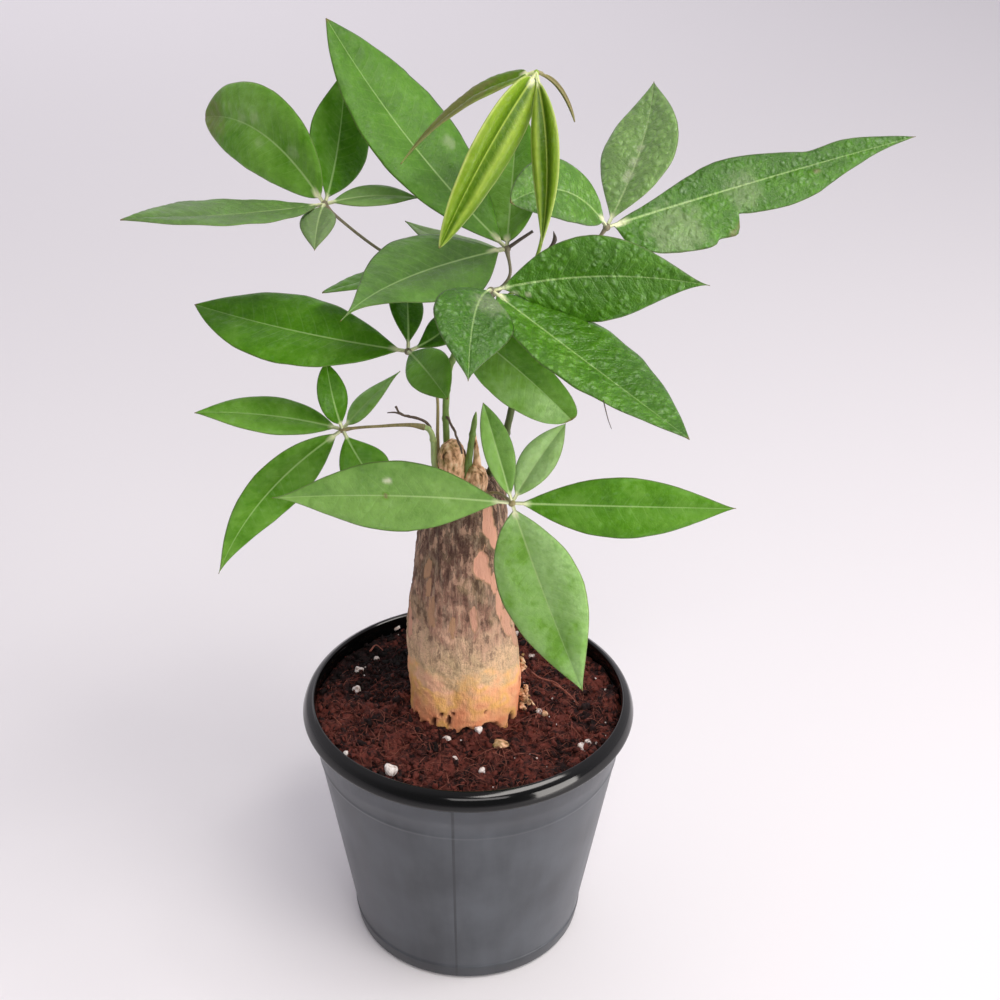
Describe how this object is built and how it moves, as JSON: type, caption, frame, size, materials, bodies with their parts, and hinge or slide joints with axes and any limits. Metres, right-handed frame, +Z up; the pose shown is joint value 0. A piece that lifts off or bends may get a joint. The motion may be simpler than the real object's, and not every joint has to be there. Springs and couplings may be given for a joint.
{
  "type": "potted money tree",
  "caption": "Small potted money tree: a short sawn trunk in a round nursery pot, with thin shoots at its top that carry hand-shaped compound leaves.",
  "frame": {"origin": "middle of the flat underside of the pot's floor, on the surface that the pot stands on", "axes": "+Z up along the pot's axis, +X to the right and +Y away from the viewer in the fullest view of the plant"},
  "size_m": [0.3042, 0.1696, 0.4119],
  "materials": {
    "pot_plastic": "satin dark grey moulded polypropylene, with a smoother rim",
    "potting_mix": "moist brown coconut fibre with white perlite grains",
    "bark": "matt, streaked and peeling, with pale sawn knobs",
    "green_shoot": "smooth living green bark, brown at the foot",
    "dry_twig": "dried brown leaf stalk",
    "leaf_blade": "waxy mid green, with pale midribs",
    "young_leaf_blade": "waxy yellow-green, pleated along its side veins"
  },
  "bodies": {
    "root": {"pot": "pot_plastic", "soil": "potting_mix", "trunk": "bark", "shoot_main": "green_shoot", "shoot_left": "green_shoot", "shoot_right": "green_shoot", "shoot_cut": "green_shoot", "twig_left": "dry_twig", "twig_front": "dry_twig", "leaf_upper_left": "leaf_blade", "leaf_crown": "leaf_blade", "leaf_young": "young_leaf_blade", "leaf_upper_right": "leaf_blade", "leaf_front_right": "leaf_blade", "leaf_middle_left": "leaf_blade", "leaf_lower_left": "leaf_blade", "leaf_inner": "leaf_blade", "leaf_lower_front": "leaf_blade"}
  },
  "joints": []
}
